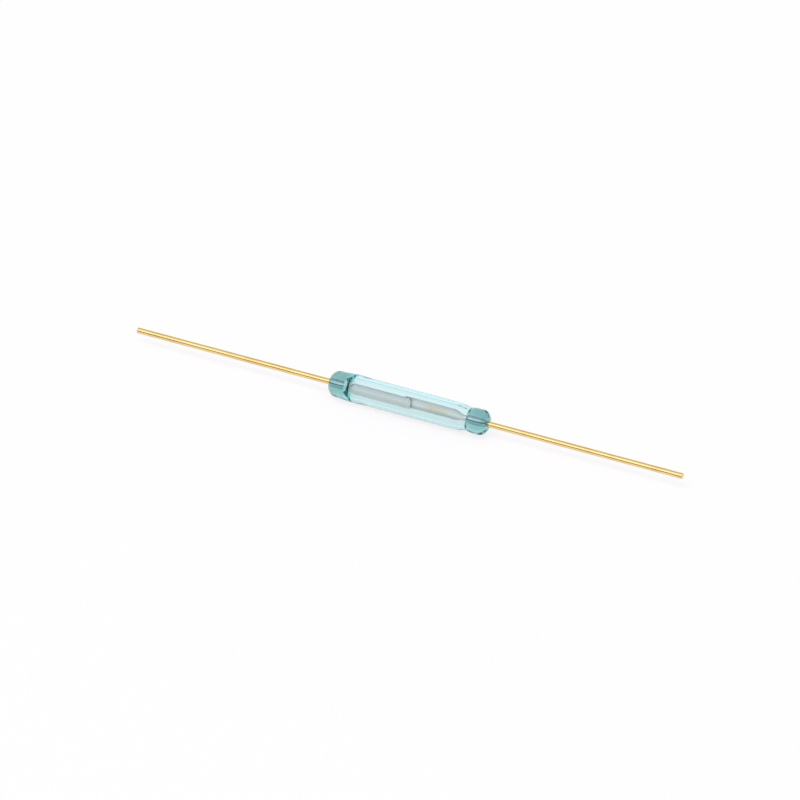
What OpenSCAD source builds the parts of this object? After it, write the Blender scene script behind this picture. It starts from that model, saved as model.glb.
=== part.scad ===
// Glass reed switch: a sealed glass capsule with two overlapping spring reeds.
// Millimetres. X runs along the leads, Z is up, and the origin is the middle of the glass.

/* [Glass capsule] */
// Length of the glass from end to end
glass_l = 14; // [12:0.1:18]
// Outside diameter of the straight tube
tube_d = 2.26; // [2.1:0.01:3]
// Thickness of the tube's wall
wall = 0.3; // [0.2:0.01:0.4]

/* [Left seal] */
// Radius of the melted rim at the left end
left_rim_r = 0.73; // [0.2:0.01:0.8]
// Outside diameter of the left seal at its rim
left_end_d = 2.17; // [1.9:0.01:2.6]
// Outside diameter of the swelling where the left seal was melted
swell_d = 2.34; // [2.1:0.01:3]
// Distance of the swelling from the left end
swell_at = 2.2; // [1.5:0.05:3]
// Length over which the swelling runs out into the tube
swell_runout = 1.3; // [0.6:0.05:2]
// Length of solid glass round the left wire
left_seal_l = 1.35; // [1:0.05:2.5]
// Diameter of the flat ring round the left neck, at the end of the cavity
left_ring_d = 0.74; // [0.7:0.01:1.2]
// Length by which the edge of the left ring is eased
left_ring_edge = 0.11; // [0.02:0.01:0.15]
// Length of the cone from the left ring to the cavity's wall
left_cone_l = 0.72; // [0.4:0.01:1.2]
// Length by which the corner of the left cone with the wall is eased
left_corner = 0.2; // [0.05:0.01:0.45]

/* [Right seal] */
// Radius of the melted rim at the right end
right_rim_r = 0.67; // [0.2:0.01:0.8]
// Outside diameter of the right seal at its rim
right_end_d = 2.12; // [1.9:0.01:2.6]
// Outside diameter of the waist where the right seal drew in
waist_d = 1.97; // [1.9:0.01:2.6]
// Distance of the waist from the right end
waist_at = 1.7; // [1.5:0.05:2.5]
// Length over which the tube draws in to the waist
waist_runin = 0.95; // [0.3:0.05:1.5]
// Length over which the waist runs out into the seal
waist_runout = 0.6; // [0.3:0.05:0.7]
// Length of solid glass round the right wire
right_seal_l = 1.6; // [1:0.05:2.5]
// Diameter of the flat ring round the right neck, at the end of the cavity
right_ring_d = 1.2; // [0.7:0.01:1.4]
// Length by which the edge of the right ring is eased
right_ring_edge = 0.2; // [0.02:0.01:0.3]
// Length of the cone from the right ring to the cavity's wall
right_cone_l = 0.95; // [0.6:0.01:1.4]
// Length by which the corner of the right cone with the wall is eased
right_corner = 0.4; // [0.05:0.01:0.6]

/* [Leads] */
// Diameter of the round wire
wire_d = 0.5; // [0.4:0.01:0.65]
// Length of each lead outside the glass
lead_l = 17.2; // [5:0.1:25]
// Chamfer of the cut ends of the leads
cut_chamfer = 0.04; // [0.01:0.01:0.1]
// Diameter of the wire deep in its seal, where the heat drew it down
sealed_d = 0.48; // [0.44:0.01:0.6]
// Diameter of the necks where the blades begin
neck_d = 0.44; // [0.36:0.01:0.6]
// Length inside each seal over which the wire draws down towards its neck
taper_l = 0.3; // [0.1:0.05:0.9]
// Length of the left neck inside the cavity
left_neck_l = 0.1; // [0.05:0.01:0.6]
// Length of the right neck inside the cavity
right_neck_l = 0.35; // [0.05:0.01:0.6]

/* [Blades] */
// Width of the flattened blades
blade_w = 1; // [0.7:0.01:1.2]
// Thickness of the flattened blades
blade_t = 0.2; // [0.15:0.01:0.3]
// Length of the left shoulder, from round wire to flat blade
left_shoulder_l = 0.9; // [0.4:0.05:1.5]
// Length of the right shoulder, from round wire to flat blade
right_shoulder_l = 1.25; // [0.4:0.05:1.5]
// Place of the middle of the contact along the glass
contact_at = -0.11; // [-1:0.01:1]
// Length of the overlap of the two blades
overlap = 0.59; // [0.3:0.01:1.5]
// Open contact gap between the two blades
gap = 0.05; // [0.02:0.005:0.1]
// Radius of the corners at the blades' tips
tip_r = 0.1; // [0.02:0.01:0.3]

/* [Hidden] */
$fn = 64;

glass_end = glass_l / 2;
tube_r = tube_d / 2;
cavity_r = tube_r - wall;
wire_r = wire_d / 2;
sealed_r = sealed_d / 2;
neck_r = neck_d / 2;
blade_r = blade_w / 2;
// Where the cavity meets the wire at each end
left_cavity = -glass_end + left_seal_l;
right_cavity = glass_end - right_seal_l;
// Distance from each reed's seal to its tip
left_reach = contact_at + overlap / 2 - left_cavity;
right_reach = right_cavity - contact_at + overlap / 2;
// Steps in an arc or a blend
arc_steps = 8;
// Room that a cutting shape takes past what it cuts
past = 1;
// How far above the neck the stamped ramp starts
ramp_start = 0.02;
// Least width of a flat that a rounding leaves beside the wire
least_flat = 0.03;

gold = [0.85, 0.66, 0.27];
nickel_iron = [0.72, 0.75, 0.76];
tinted_glass = [0.55, 0.78, 0.78, 0.5];

// Points of an arc about a centre, from one angle to another
function arc(centre, radius, from, to) =
    [for (i = [0 : arc_steps])
        let (a = from + (to - from) * i / arc_steps)
        centre + radius * [cos(a), sin(a)]];

// Points of a smooth run of the radius from one place on the axis to another, as [radius, place]
function blend(r_from, at_from, r_to, at_to) =
    [for (i = [0 : arc_steps])
        let (s = i / arc_steps)
        [r_from + (r_to - r_from) * (1 - cos(180 * s)) / 2, at_from + (at_to - at_from) * s]];

// Points of a corner that is eased by a length along both its sides
function eased(before, corner, after, side) =
    let (
        back = (before - corner) / norm(before - corner),
        on = (after - corner) / norm(after - corner))
    [for (i = [0 : arc_steps])
        let (a = 90 * i / arc_steps)
        corner + side * ((1 - sin(a)) * back + (1 - cos(a)) * on)];

// Radius of an arc that leaves a line as its tangent and has risen by a height after a length
function rise_radius(length, height) = (length * length + height * height) / (2 * height);

// Radius of the wire where it comes out of a seal, part of the way along its taper to the neck
function seal_r(neck_l) = sealed_r + (neck_r - sealed_r) * taper_l / (taper_l + neck_l);

// Radius of a melted rim, limited by the glass between the wire and the outside
function rim_r(wanted_r, end_r) = min(wanted_r, end_r - wire_r - least_flat);

// Points of a cavity end, from the wire over its flat ring and its cone to the wall, as [radius, depth]
function cavity_end(wire_end_r, ring_r, ring_edge, cone_l, corner) =
    let (
        start = [wire_end_r, 0],
        ring = [ring_r, 0],
        top = [cavity_r, cone_l],
        edge = min(ring_edge, ring_r - wire_end_r - least_flat))
    concat(
        [start],
        eased(start, ring, top, edge),
        eased(ring, top, [cavity_r, cone_l + past], corner));

// The same points in the opposite order
function backwards(points) = [for (i = [len(points) - 1 : -1 : 0]) points[i]];

// A turned shape about the X axis, from points given as [radius, place]
module turned(points) {
    rotate([0, 90, 0]) rotate_extrude() polygon(points);
}

// The capsule's wall: rim, left seal, swelling, tube, waist, right seal and rim, then the cavity
module glass_capsule() {
    left_r = left_end_d / 2;
    right_r = right_end_d / 2;
    left_rim = rim_r(left_rim_r, left_r);
    right_rim = rim_r(right_rim_r, right_r);
    swell_x = -glass_end + swell_at;
    waist_x = glass_end - waist_at;
    left_inside = cavity_end(
        seal_r(left_neck_l), left_ring_d / 2, left_ring_edge, left_cone_l, left_corner);
    right_inside = cavity_end(
        seal_r(right_neck_l), right_ring_d / 2, right_ring_edge, right_cone_l, right_corner);
    outside = concat(
        arc([left_r - left_rim, -glass_end + left_rim], left_rim, -90, 0),
        blend(left_r, -glass_end + left_rim, swell_d / 2, swell_x),
        blend(swell_d / 2, swell_x, tube_r, swell_x + swell_runout),
        blend(tube_r, waist_x - waist_runin, waist_d / 2, waist_x),
        blend(waist_d / 2, waist_x, right_r, waist_x + waist_runout),
        arc([right_r - right_rim, glass_end - right_rim], right_rim, 0, 90));
    inside = concat(
        [[wire_r, glass_end], [sealed_r, right_cavity + taper_l]],
        [for (p = right_inside) [p[0], right_cavity - p[1]]],
        backwards([for (p = left_inside) [p[0], left_cavity + p[1]]]),
        [[sealed_r, left_cavity - taper_l], [wire_r, -glass_end]]);
    color(tinted_glass) turned(concat(outside, inside));
}

// What the stamping takes off a reed: the metal behind the blade and in front of its contact face.
// A reed lies along +X from its seal, and its contact face looks along +Y.
module stamped_away(neck_l, shoulder_l, reach) {
    face_y = -gap / 2;
    back_y = face_y - blade_t;
    flat_x = neck_l + shoulder_l;
    ramp_h = neck_r + ramp_start - face_y;
    ramp_r = rise_radius(shoulder_l, ramp_h);
    ramp_a = acos(1 - ramp_h / ramp_r);
    far_x = reach + past;
    side_y = blade_r + past;
    ramp = arc([flat_x, face_y + ramp_r], ramp_r, -90 - ramp_a, -90);
    linear_extrude(2 * side_y, center = true) {
        polygon(concat(ramp, [[far_x, face_y], [far_x, side_y], [neck_l, side_y]]));
        polygon([[neck_l, back_y], [far_x, back_y], [far_x, -side_y], [neck_l, -side_y]]);
    }
}

// The rigid part of a reed: cut end, round lead through the seal, and the taper to the neck
module lead(seal_l, neck_l) {
    cut_x = -seal_l - lead_l;
    color(gold) turned([
        [0, cut_x],
        [wire_r - cut_chamfer, cut_x],
        [wire_r, cut_x + cut_chamfer],
        [wire_r, -seal_l],
        [sealed_r, -taper_l],
        [neck_r, neck_l],
        [0, neck_l]]);
}

// The springy part of a reed: a shoulder that flares out of the neck into a flat blade with round
// edges, and eased corners at its tip
module blade(neck_l, shoulder_l, reach) {
    flare = blend(neck_r, neck_l, blade_r, neck_l + shoulder_l);
    corner_x = reach - tip_r;
    corner_z = blade_r - tip_r;
    side_z = blade_r + past;
    tip = concat(
        [[neck_l - past, -side_z], [corner_x, -side_z]],
        arc([corner_x, -corner_z], tip_r, -90, 0),
        arc([corner_x, corner_z], tip_r, 0, 90),
        [[corner_x, side_z], [neck_l - past, side_z]]);
    color(nickel_iron) intersection() {
        difference() {
            turned(concat([[0, neck_l]], flare, [[blade_r, reach], [0, reach]]));
            stamped_away(neck_l, shoulder_l, reach);
        }
        rotate([90, 0, 0]) linear_extrude(2 * side_z, center = true) polygon(tip);
    }
}

// Places a reed at the left end of the cavity, or turned round at the right end
module at_left() {
    translate([left_cavity, 0, 0]) children();
}

module at_right() {
    translate([right_cavity, 0, 0]) rotate([0, 0, 180]) children();
}

module left_lead() {
    at_left() lead(left_seal_l, left_neck_l);
}

module right_lead() {
    at_right() lead(right_seal_l, right_neck_l);
}

module left_blade() {
    at_left() blade(left_neck_l, left_shoulder_l, left_reach);
}

module right_blade() {
    at_right() blade(right_neck_l, right_shoulder_l, right_reach);
}

glass_capsule();
left_lead();
right_lead();
left_blade();
right_blade();
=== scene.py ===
"""Glass reed switch: a tinted glass capsule, its two gold-plated leads and the blades inside."""

import math

import bmesh
import bpy
from bpy.props import FloatProperty, FloatVectorProperty, PointerProperty
from mathutils import Matrix, Vector


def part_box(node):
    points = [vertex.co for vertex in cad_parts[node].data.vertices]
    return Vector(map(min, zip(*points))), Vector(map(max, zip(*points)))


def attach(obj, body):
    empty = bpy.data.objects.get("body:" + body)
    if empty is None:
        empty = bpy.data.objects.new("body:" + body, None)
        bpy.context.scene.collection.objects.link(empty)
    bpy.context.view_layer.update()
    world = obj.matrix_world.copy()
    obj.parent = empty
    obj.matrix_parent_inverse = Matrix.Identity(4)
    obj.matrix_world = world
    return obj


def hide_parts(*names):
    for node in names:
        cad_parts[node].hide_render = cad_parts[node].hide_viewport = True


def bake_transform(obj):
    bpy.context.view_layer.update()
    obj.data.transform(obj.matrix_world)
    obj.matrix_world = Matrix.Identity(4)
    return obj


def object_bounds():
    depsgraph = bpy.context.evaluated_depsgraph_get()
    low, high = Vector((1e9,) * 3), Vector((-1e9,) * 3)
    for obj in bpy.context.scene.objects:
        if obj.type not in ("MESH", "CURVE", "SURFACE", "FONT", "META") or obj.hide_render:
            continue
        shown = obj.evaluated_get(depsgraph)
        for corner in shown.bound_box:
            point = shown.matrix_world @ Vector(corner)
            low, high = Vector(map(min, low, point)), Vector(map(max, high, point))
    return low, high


bl_info = {
    "name": "Glass reed switch",
    "version": (1, 0, 0),
    "blender": (4, 5, 0),
    "location": "3D View > Sidebar > Reed switch",
    "description": "Builds the looks of a glass reed switch round its packed solids",
    "category": "Add Mesh",
}

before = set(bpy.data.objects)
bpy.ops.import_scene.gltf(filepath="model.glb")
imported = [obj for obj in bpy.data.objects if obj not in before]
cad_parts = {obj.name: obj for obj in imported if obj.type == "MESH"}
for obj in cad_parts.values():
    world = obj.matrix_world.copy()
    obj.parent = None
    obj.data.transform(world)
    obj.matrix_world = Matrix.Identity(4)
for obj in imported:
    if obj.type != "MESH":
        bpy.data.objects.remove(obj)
cad_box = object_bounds()

# Blender works in metres; sizes are given in millimetres unless they say otherwise
MM = 0.001


def packed(node):
    """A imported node's lowest and highest corners, in millimetres."""
    return [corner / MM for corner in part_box(node)]


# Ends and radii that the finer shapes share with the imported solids
GLASS_LOW, GLASS_HIGH = packed("glass_capsule")
LEFT_CUT = packed("left_lead")[0].x
RIGHT_CUT = packed("right_lead")[1].x
WIRE_RADIUS = packed("left_lead")[1].z
LEFT_TIP = packed("left_blade")[1].x
RIGHT_TIP = packed("right_blade")[0].x
HALF_BLADE = packed("left_blade")[1].z

# Steps of a full turn, and of one rounded corner
TURN_STEPS = 192
ARC_STEPS = 14
# Corners sharper than this keep a crisp edge
CRISP_ANGLE = math.radians(38)
# Points closer than this are one point
MERGE = 0.0005
# The glass reaches a little way into the wire that it is fused to
BORE_SHARE = 0.9
# Neighbouring roundings stop just short of each other
SPARE = 0.96

# Grain of the finishes along X, Y and Z, and how many finer layers each grain has
GLASS_LINES = (9, 0.12, 0.12)
GLASS_MELT = (0.7, 0.7, 0.7)
WIRE_LINES = (3, 0.03, 0.03)
WIRE_PATCHES = (1.2, 0.5, 0.5)
BLADE_LINES = (1.5, 0.02, 0.02)
BLADE_CLOUDS = (0.6, 0.25, 0.25)
TABLE_GRAIN = (2, 2, 2)
GRAIN_DETAIL = 3

# Depth of the relief in the finishes; the flame's marks in the glass outweigh its drawing lines
GLASS_RELIEF = 0.0006
WIRE_RELIEF = 0.0008
BLADE_RELIEF = 0.0012
MELT_WEIGHT = 3

# Where finishes and painted shades start and end their change, from the middle of the glass
# outwards
SEAL_CHANGE = (5.2, 5.7)
PLATING_CHANGE = (6.99, 7.04)
EDGE_CHANGE = (0.1, 0.5)
WASH_RISE = (1.0, 2.4)
WASH_FALL = (2.8, 4.2)
# How far the grain shifts these changes
SEAL_SHIFT = 0.2
PLATING_SHIFT = 0.06
EDGE_SHIFT = 0.1
WASH_SHIFT = 0.5
# Heights of the grain between which plating goes from thin to thick
PATCH_CHANGE = (0.42, 0.72)
# Largest share of the mottle in the table top
MOTTLE = 0.5

# Roughness of the metals, and what plating, lines and clouds take from it or add to it
WIRE_ROUGHNESS = 0.12
PLATING_SMOOTHER = 0.02
WIRE_LINES_ROUGHER = 0.06
BLADE_ROUGHNESS = 0.26
BLADE_LINES_ROUGHER = 0.14
BLADE_CLOUDS_ROUGHER = 0.08

# Where the room starts and ends its changes, as parts of a direction that is 1 long:
# forwards for the front, backwards for the flag's depth, to the right for the flag's sides
# and the dim side, and upwards for the rest
FRONT_CHANGE = (0.0, 0.25)
FRONT_HIGH_CHANGE = (0.32, 0.58)
BACK_HIGH_CHANGE = (0.12, 0.3)
FLAG_DEPTH = (0.0, 0.15)
FLAG_LEFT = (-0.28, -0.1)
FLAG_RIGHT = (-0.1, 0.06)
FLAG_FOOT = (0.05, 0.3)
FLAG_HEAD = (0.6, 0.95)
DIM_SIDE = (0.3, 0.7)
DIM_FOOT = (0.0, 0.1)
WHITE = (1, 1, 1)

# Half the side of the table top, in metres
TABLE_HALF = 6
# Side of the square photograph in pixels, and where it shows the middle of the glass, at what scale
PICTURE = 800
GLASS_AT = (409.5, 403.0)
PIXELS_PER_MM = 12.37
# Width of the camera's sensor
SENSOR = 36
# The camera sees from this many times nearer than the part to this many times farther
CLIP_RATIO = 100


def length(name, description, default):
    """A size in metres, with its default in millimetres."""
    return FloatProperty(
        name=name, description=description, default=default * MM, min=0, unit="LENGTH", precision=6
    )


def colour(name, description, default):
    """A colour in linear light."""
    return FloatVectorProperty(
        name=name, description=description, default=default, size=3, min=0, max=1, subtype="COLOR"
    )


def angle(name, description, degrees):
    """An angle, with its default in degrees."""
    return FloatProperty(
        name=name, description=description, default=math.radians(degrees), subtype="ANGLE"
    )


def factor(name, description, default):
    """A plain factor."""
    return FloatProperty(
        name=name, description=description, default=default, min=0, subtype="FACTOR"
    )


class ReedGlass(bpy.types.PropertyGroup):
    """Sizes and finish of the glass capsule"""

    tube_radius: length("Tube radius", "Outside radius of the straight tube", 1.13)
    wall: length("Wall", "Thickness of the tube's wall", 0.3)
    left_rim: length("Left rim", "Radius of the melted rim at the left end", 0.73)
    right_rim: length("Right rim", "Radius of the melted rim at the right end", 0.67)
    left_end: length("Left end", "Outside radius of the left seal", 1.085)
    swell: length("Swelling", "Outside radius of the swelling by the left seal", GLASS_HIGH.z)
    swell_at: length("Swelling place", "Distance of the swelling from the left end", 2.2)
    swell_runout: length("Swelling run-out", "Length from the swelling to the straight tube", 1.3)
    left_seal: length("Left seal", "Length of solid glass round the left wire", 1.35)
    left_cone: length("Left cone", "Length of the cone at the left end of the cavity", 0.72)
    left_ring: length("Left ring", "Radius of the flat ring round the left neck", 0.37)
    left_corner: length("Left corner", "Rounding from the left cone to the cavity's wall", 0.2)
    left_ring_edge: length("Left ring edge", "Rounding of the left ring", 0.11)
    waist: length("Waist", "Outside radius of the waist by the right seal", 0.985)
    waist_at: length("Waist place", "Distance of the waist from the right end", 1.7)
    waist_runin: length("Waist run-in", "Length from the straight tube to the waist", 0.95)
    waist_runout: length("Waist run-out", "Length from the waist to the right seal", 0.6)
    right_end: length("Right end", "Outside radius of the right seal", 1.06)
    right_seal: length("Right seal", "Length of solid glass round the right wire", 1.6)
    right_cone: length("Right cone", "Length of the cone at the right end of the cavity", 0.95)
    right_ring: length("Right ring", "Radius of the flat ring round the right neck", 0.6)
    right_corner: length("Right corner", "Rounding from the right cone to the cavity's wall", 0.4)
    right_ring_edge: length("Right ring edge", "Rounding of the right ring", 0.2)
    tint: colour("Tint", "Colour that the glass lets through", (0.167, 0.83, 0.86))
    tint_density: FloatProperty(
        name="Tint density", description="Strength of the tint per metre", default=600, min=0
    )
    # seal_shade is painted shade: it darkens the glass of both seals
    seal_shade: colour("Seal shade", "Painted shade that darkens the seals", (0.69, 0.655, 0.625))
    ior: FloatProperty(name="IOR", description="Refractive index of the glass", default=1.5, min=1)


class ReedMetal(bpy.types.PropertyGroup):
    """Sizes and finishes of the leads and the blades"""

    cut_chamfer: length("Cut chamfer", "Rounding of the cut ends of the leads", 0.04)
    sealed: length("Sealed wire", "Radius of the wire deep in its seal", 0.24)
    neck: length("Neck", "Radius of the wire where the blade begins", 0.22)
    taper: length("Taper", "Length inside the seal over which the wire narrows to the neck", 0.3)
    left_neck: length("Left neck", "Length of round wire at the left end of the cavity", 0.1)
    right_neck: length("Right neck", "Length of round wire at the right end of the cavity", 0.35)
    left_shoulder: length("Left shoulder", "Length from round wire to flat blade", 0.9)
    right_shoulder: length("Right shoulder", "Length from round wire to flat blade", 1.25)
    blade_thickness: length("Blade thickness", "Thickness of the flattened blades", 0.2)
    contact_gap: length("Contact gap", "Open gap between the two blades", 0.05)
    tip_radius: length("Tip radius", "Rounding of the corners at the blades' tips", 0.1)
    gold: colour("Gold", "Plating of the leads outside the glass", (0.88, 0.65, 0.295))
    deep_gold: colour("Deep gold", "Thicker patches of the plating", (0.83, 0.575, 0.235))
    nickel_iron: colour("Nickel-iron", "Bare metal of the blades", (0.87, 0.81, 0.795))
    # edge_shade is painted shade: the blades darken towards their top and bottom edges
    edge_shade: colour("Edge shade", "Painted shade towards the blades' edges", (0.69, 0.66, 0.66))
    sealed_wire: colour("Oxidised wire", "Oxidised wire inside the seals", (0.72, 0.74, 0.79))
    warm_wash: colour("Warm wash", "Plating that shows on the right blade", (0.87, 0.7, 0.55))


class ReedStage(bpy.types.PropertyGroup):
    """The camera, the lamp, the table top and the room"""

    azimuth: angle("Azimuth", "Turn of the camera round the part", 24.5)
    elevation: angle("Elevation", "Height of the camera above the horizon", 36)
    lens: FloatProperty(
        name="Lens", description="Focal length of the camera", default=1500, min=1, unit="CAMERA"
    )
    lamp: FloatProperty(
        name="Lamp", description="Power of the soft lamp above the part", default=0.5, unit="POWER"
    )
    lamp_at: FloatVectorProperty(
        name="Lamp place",
        description="Place of the soft lamp, in metres",
        default=(-0.05, -0.12, 0.45),
        subtype="TRANSLATION",
    )
    lamp_width: length("Lamp width", "Side of the square lamp", 200)
    floor: colour("Floor", "Colour of the table top", (0.97, 0.965, 0.97))
    floor_mottle: colour("Floor mottle", "Faint mottle in the table top", (0.96, 0.955, 0.96))
    floor_white: colour("Floor white", "Plain white of the table top", (1.0, 0.985, 0.998))
    direct_white: factor("Direct white", "Share of plain white in the table seen directly", 0.83)
    part_white: factor("Part white", "Share of plain white in the table seen in the part", 0.75)
    back_low: factor("Back low", "Brightness of the room low behind the part", 1.3)
    back_high: factor("Back high", "Brightness of the room high behind the part", 0.8)
    back_tone: colour("Back tone", "Tone of the room behind the part", (0.86, 0.9, 0.95))
    front_light: factor("Front light", "Brightness of the room high in front", 1.6)
    front_dark: factor("Front dark", "Brightness of the room low in front", 0.18)
    right_dim: factor("Right dim", "Share of the light that is missing far to the right", 0.55)
    flag_dark: factor("Flag", "Brightness of the narrow dark flag behind the part", 0.12)


def mm(size):
    """A setting's size in millimetres."""
    return size / MM


class Signal:
    """A node's output that takes part in arithmetic; each operation adds a Math node."""

    def __init__(self, recipe, socket):
        self.recipe = recipe
        self.socket = socket

    def maths(self, operation, *sides):
        """A Math node on one or two sides, each a signal or a number."""
        return self.recipe.node("ShaderNodeMath", {"operation": operation}, dict(enumerate(sides)))

    def __add__(self, other):
        return self.maths("ADD", self, other)

    def __radd__(self, other):
        return self.maths("ADD", other, self)

    def __sub__(self, other):
        return self.maths("SUBTRACT", self, other)

    def __rsub__(self, other):
        return self.maths("SUBTRACT", other, self)

    def __mul__(self, other):
        return self.maths("MULTIPLY", self, other)

    def __rmul__(self, other):
        return self.maths("MULTIPLY", other, self)

    def __abs__(self):
        return self.maths("ABSOLUTE", self)


class Recipe:
    """The nodes of one material or of the world."""

    def __init__(self, tree):
        self.tree = tree
        tree.nodes.clear()

    def node(self, kind, settings=None, values=None, output=0):
        """Add a node, set it up, fill its sockets with values or links, and give one output."""
        made = self.tree.nodes.new(kind)
        for name, setting in (settings or {}).items():
            setattr(made, name, setting)
        for name, value in (values or {}).items():
            socket = made.inputs[name]
            if isinstance(value, Signal):
                self.tree.links.new(value.socket, socket)
            elif socket.type == "RGBA":
                socket.default_value = (*value, 1)
            else:
                socket.default_value = value
        return Signal(self, made.outputs[output]) if made.outputs else None

    def part(self, vector, axis):
        """One part of a vector: X, Y or Z."""
        return self.node("ShaderNodeSeparateXYZ", values={"Vector": vector}, output=axis)

    def place(self):
        """The point on the piece, in metres."""
        return self.node("ShaderNodeTexCoord", output="Object")

    def along(self, axis):
        """The distance along one axis from the middle of the glass, in millimetres."""
        return self.part(self.place(), axis) * (1 / MM)

    def noise(self, grain):
        """Noise with a grain of this many millimetres along X, Y and Z."""
        scale = [1 / (size * MM) for size in grain]
        stretched = self.node("ShaderNodeMapping", values={"Vector": self.place(), "Scale": scale})
        return self.node(
            "ShaderNodeTexNoise", values={"Vector": stretched, "Scale": 1, "Detail": GRAIN_DETAIL}
        )

    def step(self, signal, change):
        """Smooth rise from 0 to 1 as the signal goes from the start to the end of a change."""
        start, end = change
        return self.node(
            "ShaderNodeMapRange",
            {"interpolation_type": "SMOOTHSTEP"},
            {"Value": signal, "From Min": start, "From Max": end},
        )

    def band(self, signal, rise, fall):
        """Smooth rise from 0 to 1 and back to 0 further on."""
        return self.step(signal, rise) - self.step(signal, fall)

    def mix(self, share, first, second):
        """Two colours mixed by a share from 0 to 1; a Mix node's colours go by number."""
        return self.node(
            "ShaderNodeMix",
            {"data_type": "RGBA"},
            {"Factor": share, 6: first, 7: second},
            output=2,
        )

    def bump(self, height, depth):
        """A normal that follows a height, with this depth in millimetres for a height of 1."""
        return self.node("ShaderNodeBump", values={"Height": height, "Distance": depth * MM})


def new_material(name):
    """An empty node material and its recipe."""
    material = bpy.data.materials.new(name)
    material.use_nodes = True
    return material, Recipe(material.node_tree)


def tinted_glass(glass):
    """Green-blue glass that colours light along its way through, with faint drawing lines and
    painted shade that darkens the seals.
    """
    material, recipe = new_material("tinted_glass")
    lines = recipe.noise(GLASS_LINES)
    melt = recipe.noise(GLASS_MELT)
    # Painted shade: the glass's colour goes from white in the tube to seal_shade in the seals
    in_seal = recipe.step(abs(recipe.along("X")) + melt * SEAL_SHIFT, SEAL_CHANGE)
    surface = recipe.node(
        "ShaderNodeBsdfPrincipled",
        values={
            "Base Color": recipe.mix(in_seal, WHITE, glass.seal_shade),
            "Roughness": 0,
            "IOR": glass.ior,
            "Transmission Weight": 1,
            "Normal": recipe.bump(lines + melt * MELT_WEIGHT, GLASS_RELIEF),
        },
    )
    depth = recipe.node(
        "ShaderNodeVolumeAbsorption", values={"Color": glass.tint, "Density": glass.tint_density}
    )
    recipe.node("ShaderNodeOutputMaterial", values={"Surface": surface, "Volume": depth})
    return material


def gold_wire(metal):
    """Gold plating with drawing lines outside the glass, and oxidised wire in the seals."""
    material, recipe = new_material("gold_plated_wire")
    lines = recipe.noise(WIRE_LINES)
    patches = recipe.noise(WIRE_PATCHES)
    plating = recipe.mix(recipe.step(patches, PATCH_CHANGE), metal.gold, metal.deep_gold)
    plated = recipe.step(abs(recipe.along("X")) + patches * PLATING_SHIFT, PLATING_CHANGE)
    roughness = WIRE_ROUGHNESS - plated * PLATING_SMOOTHER + lines * WIRE_LINES_ROUGHER
    surface = recipe.node(
        "ShaderNodeBsdfPrincipled",
        values={
            "Base Color": recipe.mix(plated, metal.sealed_wire, plating),
            "Metallic": 1,
            "Roughness": roughness,
            "Normal": recipe.bump(lines, WIRE_RELIEF),
        },
    )
    recipe.node("ShaderNodeOutputMaterial", values={"Surface": surface})
    return material


def spring_metal(metal):
    """Rolled nickel-iron with fine lines, painted shade that darkens towards the edges, and a warm
    wash on the right blade.
    """
    material, recipe = new_material("nickel_iron")
    lines = recipe.noise(BLADE_LINES)
    clouds = recipe.noise(BLADE_CLOUDS)
    # Painted shade: darker from the middle of the blade's height towards its top and bottom edges
    edge = recipe.step(abs(recipe.along("Z")) + clouds * EDGE_SHIFT, EDGE_CHANGE)
    wash = recipe.band(recipe.along("X") + clouds * WASH_SHIFT, WASH_RISE, WASH_FALL)
    washed = recipe.mix(wash, metal.nickel_iron, metal.warm_wash)
    roughness = BLADE_ROUGHNESS + lines * BLADE_LINES_ROUGHER + clouds * BLADE_CLOUDS_ROUGHER
    surface = recipe.node(
        "ShaderNodeBsdfPrincipled",
        values={
            "Base Color": recipe.mix(edge, washed, metal.edge_shade),
            "Metallic": 1,
            "Roughness": roughness,
            "Normal": recipe.bump(lines, BLADE_RELIEF),
        },
    )
    recipe.node("ShaderNodeOutputMaterial", values={"Surface": surface})
    return material


def add_profile(bm, corners, closed):
    """Draw edges through corners given as (place along X, radius, rounding), then round them."""
    verts = [bm.verts.new((place, 0, radius)) for place, radius, _ in corners]
    for first, second in zip(verts, verts[1:]):
        bm.edges.new((first, second))
    if closed:
        bm.edges.new((verts[-1], verts[0]))
    for vert, (_, _, rounding) in zip(verts, corners):
        if rounding:
            bmesh.ops.bevel(
                bm,
                geom=[vert],
                offset=rounding,
                offset_type="OFFSET",
                affect="VERTICES",
                segments=ARC_STEPS,
                profile=0.5,
                material=-1,
                clamp_overlap=True,
            )


def turn(bm):
    """Spin the profile once round the X axis."""
    bmesh.ops.spin(
        bm,
        geom=bm.verts[:] + bm.edges[:],
        cent=(0, 0, 0),
        axis=(1, 0, 0),
        angle=math.tau,
        steps=TURN_STEPS,
        use_merge=True,
    )
    bmesh.ops.remove_doubles(bm, verts=bm.verts, dist=MERGE)


def close_ends(bm):
    """Fill the open loops at the ends of a turned shape and face everything outwards."""
    bmesh.ops.holes_fill(bm, edges=[edge for edge in bm.edges if edge.is_boundary], sides=0)
    bmesh.ops.recalc_face_normals(bm, faces=bm.faces)


def piece(name, bm, material):
    """Bring a finished shape to metres and make it an object at the origin."""
    if not all(edge.is_manifold for edge in bm.edges):
        raise RuntimeError(f"{name} has an open or a doubled edge")
    bmesh.ops.scale(bm, vec=(MM, MM, MM), verts=bm.verts)
    mesh = bpy.data.meshes.new(name)
    bm.to_mesh(mesh)
    bm.free()
    mesh.shade_smooth()
    mesh.set_sharp_from_angle(angle=CRISP_ANGLE)
    mesh.materials.append(material)
    made = bpy.data.objects.new(name, mesh)
    bpy.context.scene.collection.objects.link(made)
    return made


def ease(from_place, from_radius, to_place, to_radius):
    """Corners of a smooth run of the radius: a quarter in from either end, with arcs that meet."""
    reach = (to_place - from_place) / 4
    return [
        (from_place + reach, from_radius, reach * SPARE),
        (to_place - reach, to_radius, reach * SPARE),
    ]


def cavity_ends(glass):
    """Where the seals end and the cavity lies between them."""
    return GLASS_LOW.x + mm(glass.left_seal), GLASS_HIGH.x - mm(glass.right_seal)


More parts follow.
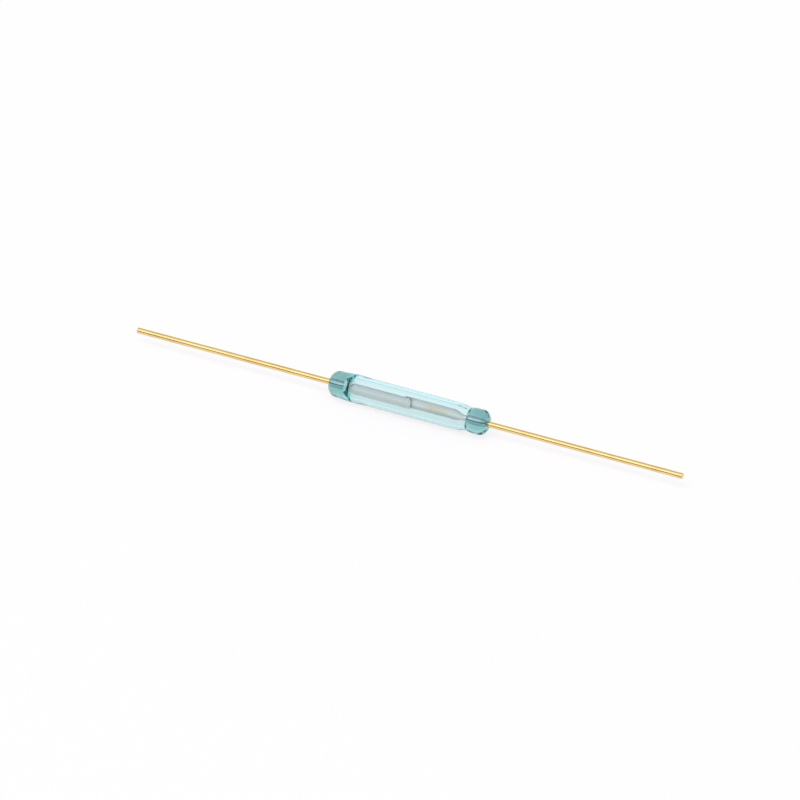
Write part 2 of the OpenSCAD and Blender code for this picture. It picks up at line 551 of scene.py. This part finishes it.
def glass_corners(glass, metal):
    """The capsule's wall: its outside from the left face to the right one, then its cavity."""
    left, right = GLASS_LOW.x, GLASS_HIGH.x
    left_cavity, right_cavity = cavity_ends(glass)
    left_rim, left_end = mm(glass.left_rim), mm(glass.left_end)
    right_rim, right_end = mm(glass.right_rim), mm(glass.right_end)
    tube = mm(glass.tube_radius)
    cavity = tube - mm(glass.wall)
    bore = mm(metal.neck) * BORE_SHARE
    swell, swell_at = mm(glass.swell), left + mm(glass.swell_at)
    waist, waist_at = mm(glass.waist), right - mm(glass.waist_at)
    outside = [(left, bore, 0), (left, left_end, left_rim)]
    outside += ease(left + left_rim, left_end, swell_at, swell)
    outside += ease(swell_at, swell, swell_at + mm(glass.swell_runout), tube)
    outside += ease(waist_at - mm(glass.waist_runin), tube, waist_at, waist)
    outside += ease(waist_at, waist, waist_at + mm(glass.waist_runout), right_end)
    outside += [(right, right_end, right_rim), (right, bore, 0)]
    inside = [
        (right_cavity, bore, 0),
        (right_cavity, mm(glass.right_ring), mm(glass.right_ring_edge)),
        (right_cavity - mm(glass.right_cone), cavity, mm(glass.right_corner)),
        (left_cavity + mm(glass.left_cone), cavity, mm(glass.left_corner)),
        (left_cavity, mm(glass.left_ring), mm(glass.left_ring_edge)),
        (left_cavity, bore, 0),
    ]
    return outside + inside


class REED_OT_glass_capsule(bpy.types.Operator):
    """Turn the glass capsule with its two melted seals and its cavity"""

    bl_idname = "reed_switch.glass_capsule"
    bl_label = "Glass capsule"

    def execute(self, context):
        scene = context.scene
        bm = bmesh.new()
        add_profile(bm, glass_corners(scene.reed_glass, scene.reed_metal), closed=True)
        turn(bm)
        close_ends(bm)
        glass = piece("glass_envelope", bm, tinted_glass(scene.reed_glass))
        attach(glass, "capsule")
        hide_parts("glass_capsule")
        return {"FINISHED"}


def set_reed(bm, cavity_end, half_turn):
    """Put a reed drawn along +X from its seal at one end of the cavity."""
    if half_turn:
        bmesh.ops.rotate(
            bm, cent=(0, 0, 0), matrix=Matrix.Rotation(math.pi, 3, "Z"), verts=bm.verts
        )
    bmesh.ops.translate(bm, vec=(cavity_end, 0, 0), verts=bm.verts)


class REED_OT_leads(bpy.types.Operator):
    """Turn the two gold-plated leads, from their cut ends to their necks in the cavity"""

    bl_idname = "reed_switch.leads"
    bl_label = "Leads"

    def execute(self, context):
        glass, metal = context.scene.reed_glass, context.scene.reed_metal
        material = gold_wire(metal)
        left_cavity, right_cavity = cavity_ends(glass)
        left_span = (LEFT_CUT - left_cavity, mm(metal.left_neck))
        right_span = (right_cavity - RIGHT_CUT, mm(metal.right_neck))
        self.lead("left", left_cavity, False, left_span, mm(glass.left_seal), metal, material)
        self.lead("right", right_cavity, True, right_span, mm(glass.right_seal), metal, material)
        return {"FINISHED"}

    def lead(self, side, cavity_end, half_turn, span, seal, metal, material):
        """One lead: a round wire that narrows through its seal to the neck."""
        start, neck_at = span
        chamfer = mm(metal.cut_chamfer)
        bm = bmesh.new()
        corners = [
            (start, WIRE_RADIUS - 2 * chamfer, 0),
            (start, WIRE_RADIUS, chamfer),
            (-seal, WIRE_RADIUS, 0),
            (-mm(metal.taper), mm(metal.sealed), 0),
            (neck_at, mm(metal.neck), 0),
        ]
        add_profile(bm, corners, closed=False)
        turn(bm)
        close_ends(bm)
        set_reed(bm, cavity_end, half_turn)
        made = piece(f"{side}_gold_lead", bm, material)
        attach(made, "capsule")
        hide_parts(f"{side}_lead")


class REED_OT_blades(bpy.types.Operator):
    """Turn the two blades' blanks and stamp them flat"""

    bl_idname = "reed_switch.blades"
    bl_label = "Blades"

    def execute(self, context):
        glass, metal = context.scene.reed_glass, context.scene.reed_metal
        material = spring_metal(metal)
        left_cavity, right_cavity = cavity_ends(glass)
        left_span = (mm(metal.left_neck), LEFT_TIP - left_cavity)
        right_span = (mm(metal.right_neck), right_cavity - RIGHT_TIP)
        left_shoulder, right_shoulder = mm(metal.left_shoulder), mm(metal.right_shoulder)
        self.blade("left", left_cavity, False, left_span, left_shoulder, metal, material)
        self.blade("right", right_cavity, True, right_span, right_shoulder, metal, material)
        return {"FINISHED"}

    def blade(self, side, cavity_end, half_turn, span, shoulder, metal, material):
        """One blade: a blank that flares out of the neck, pressed flat between two dies."""
        root, tip = span
        neck, tip_radius = mm(metal.neck), mm(metal.tip_radius)
        flat_at = root + shoulder
        bm = bmesh.new()
        corners = [
            (root, neck, 0),
            *ease(root, neck, flat_at, HALF_BLADE),
            (tip, HALF_BLADE, tip_radius),
            (tip, HALF_BLADE - 2 * tip_radius, 0),
        ]
        add_profile(bm, corners, closed=False)
        turn(bm)
        self.stamp(bm, flat_at, shoulder, metal)
        close_ends(bm)
        set_reed(bm, cavity_end, half_turn)
        made = piece(f"{side}_spring_blade", bm, material)
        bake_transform(made)
        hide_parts(f"{side}_blade")

    def stamp(self, bm, flat_at, shoulder, metal):
        """Press the blank: a curved ramp and the contact face in front, one flat behind."""
        face = -mm(metal.contact_gap) / 2
        back = face - mm(metal.blade_thickness)
        # The ramp is an arc that starts level with the neck's front and runs out into the face
        drop = mm(metal.neck) - face
        ramp = (shoulder * shoulder + drop * drop) / (2 * drop)
        for vert in bm.verts:
            before = max(0, flat_at - vert.co.x)
            front = face + ramp - math.sqrt(max(0, ramp * ramp - before * before))
            vert.co.y = min(max(vert.co.y, back), front)


def table_top(stage):
    """A pale table top that keeps the part's shadow and is near white in the picture."""
    material, recipe = new_material("table_top")
    direct = recipe.node("ShaderNodeLightPath", output="Is Camera Ray")
    mirrored = recipe.node("ShaderNodeLightPath", output="Is Glossy Ray")
    refracted = recipe.node("ShaderNodeLightPath", output="Is Transmission Ray")
    in_part = mirrored.maths("MAXIMUM", mirrored, refracted)
    white_share = direct * stage.direct_white + in_part * stage.part_white
    mottle = recipe.noise(TABLE_GRAIN) * MOTTLE
    shade = recipe.mix(mottle, stage.floor, stage.floor_mottle)
    matt = recipe.node("ShaderNodeBsdfDiffuse", values={"Color": shade})
    white = recipe.node("ShaderNodeEmission", values={"Color": stage.floor_white, "Strength": 1})
    surface = recipe.node("ShaderNodeMixShader", values={"Fac": white_share, 1: matt, 2: white})
    recipe.node("ShaderNodeOutputMaterial", values={"Surface": surface})
    return material


def studio_world(stage):
    """A soft pale room, white where the camera sees it directly.

    It is dark low in front, bright low behind and dimmer far to the right, and a narrow dark
    flag stands behind the part.
    """
    world = bpy.data.worlds.new("studio")
    world.use_nodes = True
    recipe = Recipe(world.node_tree)
    direction = recipe.node("ShaderNodeTexCoord", output="Generated")
    sideways = recipe.part(direction, "X")
    behind = recipe.part(direction, "Y")
    up = recipe.part(direction, "Z")
    front = recipe.step(behind * -1, FRONT_CHANGE)
    front_high = recipe.step(up, FRONT_HIGH_CHANGE)
    front_light = stage.front_dark + front_high * (stage.front_light - stage.front_dark)
    back_high = recipe.step(up, BACK_HIGH_CHANGE)
    back_light = stage.back_low + back_high * (stage.back_high - stage.back_low)
    open_light = back_light * (1 - front) + front_light * front
    flag_across = recipe.band(sideways, FLAG_LEFT, FLAG_RIGHT)
    flag_up = recipe.band(up, FLAG_FOOT, FLAG_HEAD)
    flag = flag_across * flag_up * recipe.step(behind, FLAG_DEPTH)
    dim = recipe.step(sideways, DIM_SIDE) * recipe.step(up, DIM_FOOT) * stage.right_dim
    light = (open_light * (1 - flag) + flag * stage.flag_dark) * (1 - dim)
    tone = recipe.mix(front, stage.back_tone, WHITE)
    room = recipe.node("ShaderNodeBackground", values={"Color": tone, "Strength": light})
    white = recipe.node("ShaderNodeBackground", values={"Color": WHITE, "Strength": 1})
    direct = recipe.node("ShaderNodeLightPath", output="Is Camera Ray")
    shown = recipe.node("ShaderNodeMixShader", values={"Fac": direct, 1: room, 2: white})
    recipe.node("ShaderNodeOutputWorld", values={"Surface": shown})
    return world


class REED_OT_stage(bpy.types.Operator):
    """Lay the table top and set up the room, the lamp and the camera"""

    bl_idname = "reed_switch.stage"
    bl_label = "Stage"

    def execute(self, context):
        stage = context.scene.reed_stage
        context.scene.view_settings.view_transform = "Standard"
        context.scene.world = studio_world(stage)
        self.table(context.scene, stage)
        self.lamp(context.scene, stage)
        self.camera(context.scene, stage)
        return {"FINISHED"}

    def table(self, scene, stage):
        """A wide table top under the lowest point of the glass."""
        bm = bmesh.new()
        bmesh.ops.create_grid(bm, x_segments=1, y_segments=1, size=TABLE_HALF)
        bmesh.ops.translate(bm, vec=(0, 0, cad_box[0].z), verts=bm.verts)
        mesh = bpy.data.meshes.new("table_top")
        bm.to_mesh(mesh)
        bm.free()
        mesh.materials.append(table_top(stage))
        top = bpy.data.objects.new("table_top", mesh)
        scene.collection.objects.link(top)

    def lamp(self, scene, stage):
        """A soft lamp above and a little in front of the part."""
        data = bpy.data.lights.new("soft_lamp", "AREA")
        data.shape = "SQUARE"
        data.size = stage.lamp_width
        data.energy = stage.lamp
        lamp = bpy.data.objects.new("soft_lamp", data)
        lamp.location = stage.lamp_at
        lamp.rotation_mode = "QUATERNION"
        lamp.rotation_quaternion = lamp.location.to_track_quat("Z", "Y")
        lamp.visible_camera = False
        lamp.visible_glossy = False
        lamp.visible_transmission = False
        scene.collection.objects.link(lamp)

    def camera(self, scene, stage):
        """A long lens at the photograph's viewing angle."""
        data = bpy.data.cameras.new("camera")
        data.sensor_width = SENSOR
        data.lens = stage.lens
        camera = bpy.data.objects.new("camera", data)
        azimuth, elevation = stage.azimuth, stage.elevation
        back = Vector(
            (
                math.sin(azimuth) * math.cos(elevation),
                -math.cos(azimuth) * math.cos(elevation),
                math.sin(elevation),
            )
        )
        turned = back.to_track_quat("Z", "Y")
        pixel = MM / PIXELS_PER_MM
        right = turned @ Vector((1, 0, 0)) * (PICTURE / 2 - GLASS_AT[0]) * pixel
        up = turned @ Vector((0, 1, 0)) * (GLASS_AT[1] - PICTURE / 2) * pixel
        distance = PICTURE * pixel * stage.lens / SENSOR
        camera.location = right + up + back * distance
        camera.rotation_mode = "QUATERNION"
        camera.rotation_quaternion = turned
        data.clip_start = distance / CLIP_RATIO
        data.clip_end = distance * CLIP_RATIO
        scene.collection.objects.link(camera)
        scene.camera = camera


class REED_PT_parts(bpy.types.Panel):
    """The steps that build the reed switch, and their settings"""

    bl_idname = "REED_PT_parts"
    bl_label = "Reed switch"
    bl_space_type = "VIEW_3D"
    bl_region_type = "UI"
    bl_category = "Reed switch"

    def draw(self, context):
        for operator in OPERATORS:
            self.layout.operator(operator.bl_idname)
        for name, group in GROUPS.items():
            column = self.layout.column(align=True)
            for setting in group.__annotations__:
                column.prop(getattr(context.scene, name), setting)


OPERATORS = (REED_OT_leads, REED_OT_blades, REED_OT_glass_capsule, REED_OT_stage)
GROUPS = {"reed_glass": ReedGlass, "reed_metal": ReedMetal, "reed_stage": ReedStage}


def register():
    """Add the classes and the scene's settings."""
    for made in (*GROUPS.values(), *OPERATORS, REED_PT_parts):
        bpy.utils.register_class(made)
    for name, group in GROUPS.items():
        setattr(bpy.types.Scene, name, PointerProperty(type=group))


def unregister():
    """Take the scene's settings and the classes away again."""
    for name in GROUPS:
        delattr(bpy.types.Scene, name)
    for made in (REED_PT_parts, *OPERATORS, *GROUPS.values()):
        bpy.utils.unregister_class(made)


def main():
    """Build every piece and the stage."""
    register()
    bpy.ops.reed_switch.leads()
    bpy.ops.reed_switch.blades()
    bpy.ops.reed_switch.glass_capsule()
    bpy.ops.reed_switch.stage()


if __name__ == "__main__":
    main()
